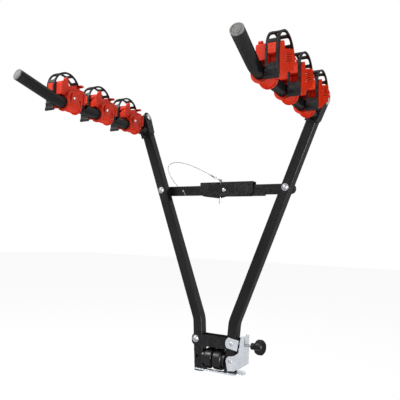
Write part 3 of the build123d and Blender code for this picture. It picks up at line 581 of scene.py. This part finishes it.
def strapStations():
    # Stations along the strap: window ends, rounded window corners and steps between
    length = strap["springing"] - strap["tabTop"] + math.pi * strap["reach"] + strap["pastArch"]
    marks = {0.0, length}
    for low, high in strap["windows"]:
        for part in strap["cornerSteps"]:
            marks |= {low + part * strap["corner"], high - part * strap["corner"]}
    marks = sorted(marks)
    stations = []
    for low, high in zip(marks, marks[1:]):
        pieces = max(1, round((high - low) / strap["step"]))
        stations += [low + (high - low) * i / pieces for i in range(pieces)]
    return stations + [length]


def windowEdge(along):
    # Half width of the nearest window at this station, narrowed at its rounded corners
    half = strap["windowWidth"] / 2
    corner = strap["corner"]
    inside = max(min(along - low, high - along) for low, high in strap["windows"])
    past = min(corner - inside, corner)
    if past <= 0:
        return half
    return half - corner + math.sqrt(corner ** 2 - past ** 2)


def addStrapBand(shape):
    middle = (strap["inner"] + strap["outer"]) / 2
    half = (strap["outer"] - strap["inner"]) / 2
    ends = [end for window in strap["windows"] for end in window]
    rows = []
    for along in strapStations():
        edge = windowEdge(along)
        across = (-half, -(half + edge) / 2, -edge, 0, edge, (half + edge) / 2, half)
        top = [shape.verts.new(strapPoint(along, middle + x, strap["thick"] / 2)) for x in across]
        low = [shape.verts.new(strapPoint(along, middle + x, -strap["thick"] / 2)) for x in across]
        rows.append((along, top, low))
    for (start, top, low), (end, nextTop, nextLow) in zip(rows, rows[1:]):
        station = (start + end) / 2
        gap = any(first < station < last for first, last in strap["windows"])
        for i in range(6):
            if gap and i in (2, 3):
                continue
            shape.faces.new((top[i], top[i + 1], nextTop[i + 1], nextTop[i]))
            shape.faces.new((low[i + 1], low[i], nextLow[i], nextLow[i + 1]))
        shape.faces.new((low[0], top[0], nextTop[0], nextLow[0]))
        shape.faces.new((top[6], low[6], nextLow[6], nextTop[6]))
        if gap:
            shape.faces.new((top[2], low[2], nextLow[2], nextTop[2]))
            shape.faces.new((low[4], top[4], nextTop[4], nextLow[4]))
    # End faces of the windows, then of the strap
    for along, top, low in rows:
        if min(abs(along - end) for end in ends) < 0.001:
            for i in (2, 3):
                shape.faces.new((top[i], top[i + 1], low[i + 1], low[i]))
    for along, top, low in (rows[0], rows[-1]):
        for i in range(6):
            shape.faces.new((top[i], low[i], low[i + 1], top[i + 1]))


def addStrapTab(shape):
    # Flared pull tab with two raised grips and a rounded end
    middle = (strap["inner"] + strap["outer"]) / 2
    half = (strap["outer"] - strap["inner"]) / 2
    height = strap["tabTop"] - strap["tabBottom"]
    soft = strap["tabSoft"]
    loops = []
    for i in range(strap["tabRows"] + 1):
        down = i / strap["tabRows"]
        z = strap["tabTop"] - height * down
        wide = half + (strap["tabWidth"] / 2 - half) * down ** strap["tabFlare"]
        grip = max(math.exp(-((down - spot) / strap["gripWidth"]) ** 2) for spot in strap["grips"])
        front = -strap["reach"] + strap["thick"] / 2
        back = front - strap["tabThick"] + strap["gripRise"] * (1 - grip)
        if down > strap["tabEnd"]:
            front -= strap["tabEndInset"]
            back += strap["tabEndInset"]
        loops.append([
            (middle - wide + soft, front, z), (middle + wide - soft, front, z),
            (middle + wide, front - soft, z), (middle + wide, back + soft, z),
            (middle + wide - soft, back, z), (middle - wide + soft, back, z),
            (middle - wide, back + soft, z), (middle - wide, front - soft, z),
        ])
    addLoops(shape, loops)


def addStrapEye(shape):
    # Barrel round the pin at the front
    inner, outer, soft = strap["inner"], strap["outer"], strap["eyeSoft"]
    profile = (
        (inner, strap["pin"]), (inner, strap["eye"] - soft), (inner + soft, strap["eye"]),
        (outer - soft, strap["eye"]), (outer, strap["eye"] - soft), (outer, strap["pin"]),
    )
    count = strap["eyeSides"]
    loops = []
    for x, radius in profile:
        turns = [2 * math.pi * i / count for i in range(count)]
        loops.append([
            (x, strap["reach"] + radius * math.cos(turn), strap["pinHeight"] + radius * math.sin(turn))
            for turn in turns
        ])
    rings = addLoops(shape, loops, capped=False)
    for i in range(count):
        j = (i + 1) % count
        shape.faces.new((rings[-1][i], rings[-1][j], rings[0][j], rings[0][i]))


def makeStrap(side, name):
    sign = sides[side]
    node = f"{side}_{name}_strap"
    shape = bmesh.new()
    addStrapBand(shape)
    addStrapTab(shape)
    addStrapEye(shape)
    # Where the arm's middle and the saddle's middle lie, read from the solid's box
    low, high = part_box(node)
    tabEdge = (strap["inner"] + strap["outer"]) / 2 + strap["tabWidth"] / 2
    x = (high.x if sign > 0 else low.x) - sign * tabEdge * mm
    y = low.y + (strap["reach"] - strap["thick"] / 2 + strap["tabThick"]) * mm
    z = low.z - strap["tabBottom"] * mm
    shape.transform(Matrix.Translation((x, y, z)) @ Matrix.Diagonal((sign * mm, mm, mm, 1)))
    if sign < 0:
        bmesh.ops.reverse_faces(shape, faces=shape.faces[:])
    piece = newPiece(f"{side}{name.title()}RubberStrap", meshFrom(node, shape), "rubber")
    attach(piece, node)
    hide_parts(node)
    bevel = piece.modifiers.new("roundEdges", "BEVEL")
    bevel.width = strap["edgeRound"] * mm
    bevel.segments = strap["edgeSegments"]
    bevel.limit_method = "ANGLE"
    bevel.angle_limit = math.radians(strap["edgeAngle"])
    bevel.use_clamp_overlap = True
    piece.modifiers.new("evenShade", "WEIGHTED_NORMAL")


for side in sides:
    for name in cradleNames:
        makeStrap(side, name)
print("straps made")

# lanyard of twisted wire; its route is the one in the source of the solids
lanyard = {
    "route": [
        (-0.1500, 0.0376, 0.5090), (-0.1502, 0.0425, 0.5092), (-0.1540, 0.0460, 0.5098),
        (-0.1640, 0.0475, 0.5115), (-0.1795, 0.0460, 0.5195), (-0.1955, 0.0425, 0.5350),
        (-0.2095, 0.0395, 0.5525), (-0.2190, 0.0370, 0.5704), (-0.2266, 0.0360, 0.5891),
        (-0.2192, 0.0350, 0.6022), (-0.1972, 0.0340, 0.6081), (-0.1750, 0.0330, 0.6058),
        (-0.1490, 0.0320, 0.5995), (-0.1243, 0.0310, 0.5911), (-0.0885, 0.0298, 0.5754),
        (-0.0545, 0.0288, 0.5582),
    ],
    "routeSteps": 24,       # between two points of the route
    "strands": 6,
    "strandRadius": 0.00040,
    "strandSides": 6,
    "twistRadius": 0.00066,
    "pitch": 0.009,
    "step": 0.0008,         # between two rings of a strand
    "coreStride": 3,        # the core has a ring where a strand has this many
}
# crimped ferrule and the wire's turned-back eye, in millimetres from the end of the route
fitting = {
    "profile": (        # along the wire and radius
        (0.0, 1.5), (0.6, 2.3), (3.2, 2.45), (4.0, 2.05), (5.0, 2.05), (5.8, 2.45), (8.2, 2.45), (9.0, 2.05),
        (10.0, 2.05), (10.8, 2.45), (13.3, 2.3), (14.0, 1.5),
    ),
    "flat": 0.92,       # the crimp squeezes it front to back
    "tall": 1.05,
    "sides": 20,
    "eyeStart": 13.2,
    "eyeLength": 14.112,
    "eyeHalf": 3.1,
    "eyeNarrow": 0.35,      # share of its width that is left near its ends
    "eyeFullness": 0.6,     # lower is fuller
    "eyeWire": 1.05,
    "eyeSides": 10,
    "eyeSteps": 40,
}


def smoothLine(route):
    curve = bpy.data.curves.new("lanyardLine", "CURVE")
    curve.dimensions = "3D"
    curve.resolution_u = lanyard["routeSteps"]
    spline = curve.splines.new("NURBS")
    spline.points.add(len(route) - 1)
    for point, place in zip(spline.points, route):
        point.co = (*place, 1)
    spline.order_u = 3
    spline.use_endpoint_u = True
    guide = bpy.data.objects.new("lanyardLine", curve)
    scene.collection.objects.link(guide)
    bpy.context.view_layer.update()
    mesh = bpy.data.meshes.new_from_object(guide)
    points = [vertex.co.copy() for vertex in mesh.vertices]
    bpy.data.objects.remove(guide)
    return points


def alongLine(points, step):
    # Evenly spaced points with the way each one faces and how far along it lies
    lengths = [0.0]
    for first, second in zip(points, points[1:]):
        lengths.append(lengths[-1] + (second - first).length)
    total = lengths[-1]
    count = int(total / step)
    found = []
    k = 0
    for i in range(count + 1):
        want = total * i / count
        while k < len(points) - 2 and lengths[k + 1] < want:
            k += 1
        span = max(lengths[k + 1] - lengths[k], 1e-9)
        found.append((points[k].lerp(points[k + 1], (want - lengths[k]) / span), want))
    stations = []
    side = Vector((0, 1, 0))
    for i, (place, want) in enumerate(found):
        ahead = found[min(i + 1, count)][0] - found[max(i - 1, 0)][0]
        ahead.normalize()
        side = (side - ahead * side.dot(ahead)).normalized()
        stations.append((place, ahead, side.copy(), want))
    return stations, total


def ringOf(centre, across, up, sidesAround):
    # Closed ring of points round a centre, from two cross directions with their lengths
    turns = [2 * math.pi * i / sidesAround for i in range(sidesAround)]
    return [centre + across * math.cos(turn) + up * math.sin(turn) for turn in turns]


def tubeAlong(shape, centres, radius, sidesAround):
    # A round tube through centres, each with its own two cross directions
    loops = [ringOf(place, across * radius, up * radius, sidesAround) for place, across, up in centres]
    addLoops(shape, loops)


def makeLanyard():
    points = smoothLine(lanyard["route"])
    stations, total = alongLine(points, lanyard["step"])
    shape = bmesh.new()
    for strand in range(lanyard["strands"]):
        start = 2 * math.pi * strand / lanyard["strands"]
        centres = []
        for place, ahead, across, want in stations:
            up = ahead.cross(across)
            turn = start + 2 * math.pi * want / lanyard["pitch"]
            out = across * math.cos(turn) + up * math.sin(turn)
            centres.append((place + out * lanyard["twistRadius"], out, ahead.cross(out)))
        tubeAlong(shape, centres, lanyard["strandRadius"], lanyard["strandSides"])
    coreStations = stations[::lanyard["coreStride"]]
    core = [(place, across, ahead.cross(across)) for place, ahead, across, want in coreStations]
    tubeAlong(shape, core, lanyard["strandRadius"], lanyard["strandSides"])
    wire = newPiece("lanyardWire", meshFrom("lanyardWire", shape), "wire")
    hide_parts("lanyard")
    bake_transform(wire)
    print("lanyard length", round(total, 4))
    return wire, points, total


def makeLanyardEye(last, ahead):
    # Ferrule, and the wire's end turned back in an eye through the pin's ring
    shape = bmesh.new()
    across = Vector((0, 1, 0))
    up = ahead.cross(across).normalized()
    loops = []
    for along, radius in fitting["profile"]:
        centre = last + ahead * along * mm
        wide = across * radius * fitting["flat"] * mm
        tall = up * radius * fitting["tall"] * mm
        loops.append(ringOf(centre, wide, tall, fitting["sides"]))
    addLoops(shape, loops)
    ferruleFaces = len(shape.faces)
    steps = fitting["eyeSteps"]
    narrow = fitting["eyeNarrow"]
    bend = []
    for i in range(steps + 1):
        part = i / steps
        turn = math.pi * (1 - 2 * part)
        along = fitting["eyeStart"] + fitting["eyeLength"] / 2 * (1 + math.cos(turn))
        fullness = narrow + (1 - narrow) * math.sin(math.pi * part) ** fitting["eyeFullness"]
        off = fitting["eyeHalf"] * math.sin(turn) * fullness
        bend.append(last + (ahead * along + up * off) * mm)
    centres = []
    for i, place in enumerate(bend):
        forward = (bend[min(i + 1, steps)] - bend[max(i - 1, 0)]).normalized()
        centres.append((place, across, forward.cross(across)))
    tubeAlong(shape, centres, fitting["eyeWire"] * mm, fitting["eyeSides"])
    eye = newPiece("lanyardEye", meshFrom("lanyardEye", shape), "wire")
    eye.data.materials.append(finishes["ferrule"])
    for polygon in eye.data.polygons:
        polygon.material_index = 1 if polygon.index < ferruleFaces else 0
    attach(eye, "lock_pin")
    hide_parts("lanyard_eye")
    return eye


wire, wirePoints, wireLength = makeLanyard()
wireHeading = (wirePoints[-1] - wirePoints[-6]).normalized()     # the way it enters its ferrule
eye = makeLanyardEye(wirePoints[-1], wireHeading)

# floor, lights and world
room = {
    "floorHeight": -0.30,
    "floorReach": 14.0,
    "floorColour": (0.90, 0.90, 0.90),
    "floorGlow": 0.86,      # share of the floor that shows white
    "glowStrength": 1.05,
    "world": (0.88, 0.89, 0.91),
    "worldStrength": 0.42,
    "lampAim": (0, -0.1, 0.4),
}
lamps = {
    "keyPanel": {"place": (-1.7, -1.7, 2.4), "size": 1.0, "power": 66},
    "sidePanel": {"place": (2.6, -1.5, 0.8), "size": 0.7, "power": 13},
    "backPanel": {"place": (-0.9, 2.2, 2.6), "size": 1.2, "power": 20},
    "edgePanel": {"place": (2.2, -1.25, 0.30), "size": 1.0, "power": 90, "glossOnly": True},
}


def mixShader(tree, factor, first, second):
    # factor is a socket or a number
    mix = tree.nodes.new("ShaderNodeMixShader")
    if isinstance(factor, (int, float)):
        mix.inputs[0].default_value = factor
    else:
        tree.links.new(factor, mix.inputs[0])
    tree.links.new(first, mix.inputs[1])
    tree.links.new(second, mix.inputs[2])
    return mix.outputs[0]


def showWhite(tree, shown, hidden):
    # The camera, gloss and glass see the first, light comes from the second
    path = tree.nodes.new("ShaderNodeLightPath")
    seen = combine(tree, "MAXIMUM", path.outputs["Is Camera Ray"], path.outputs["Is Glossy Ray"])
    seen = combine(tree, "MAXIMUM", seen, path.outputs["Is Transmission Ray"])
    return mixShader(tree, seen, hidden, shown)


def makeFloor():
    reach = room["floorReach"]
    corners = [(-reach, -reach), (reach, -reach), (reach, reach), (-reach, reach)]
    mesh = bpy.data.meshes.new("paleFloor")
    mesh.from_pydata([(x, y, room["floorHeight"]) for x, y in corners], [], [(0, 1, 2, 3)])
    floor = bpy.data.objects.new("paleFloor", mesh)
    scene.collection.objects.link(floor)
    material = bpy.data.materials.new("paleFloor")
    material.use_nodes = True
    tree = material.node_tree
    tree.nodes.remove(tree.nodes["Principled BSDF"])
    plain = addNode(tree, "ShaderNodeBsdfDiffuse", Color=(*room["floorColour"], 1)).outputs[0]
    glow = addNode(tree, "ShaderNodeEmission", Strength=room["glowStrength"]).outputs[0]
    surface = showWhite(tree, mixShader(tree, room["floorGlow"], plain, glow), plain)
    tree.links.new(surface, tree.nodes["Material Output"].inputs["Surface"])
    mesh.materials.append(material)


def makeWorld():
    world = bpy.data.worlds.new("studio")
    scene.world = world
    world.use_nodes = True
    tree = world.node_tree
    light = tree.nodes["Background"]
    light.inputs["Color"].default_value = (*room["world"], 1)
    light.inputs["Strength"].default_value = room["worldStrength"]
    white = addNode(tree, "ShaderNodeBackground", Color=(1, 1, 1, 1), Strength=1.0)
    surface = showWhite(tree, white.outputs[0], light.outputs[0])
    tree.links.new(surface, tree.nodes["World Output"].inputs["Surface"])
    scene.view_settings.view_transform = "Standard"


def makeLamp(name, values):
    data = bpy.data.lights.new(name, "AREA")
    data.shape = "DISK"
    data.size = values["size"]
    data.energy = values["power"]
    lamp = bpy.data.objects.new(name, data)
    scene.collection.objects.link(lamp)
    lamp.location = values["place"]
    lamp.visible_diffuse = not values.get("glossOnly", False)
    lamp.rotation_euler = (Vector(room["lampAim"]) - lamp.location).to_track_quat("-Z", "Y").to_euler()


makeFloor()
makeWorld()
for name, values in lamps.items():
    makeLamp(name, values)
print("room made")
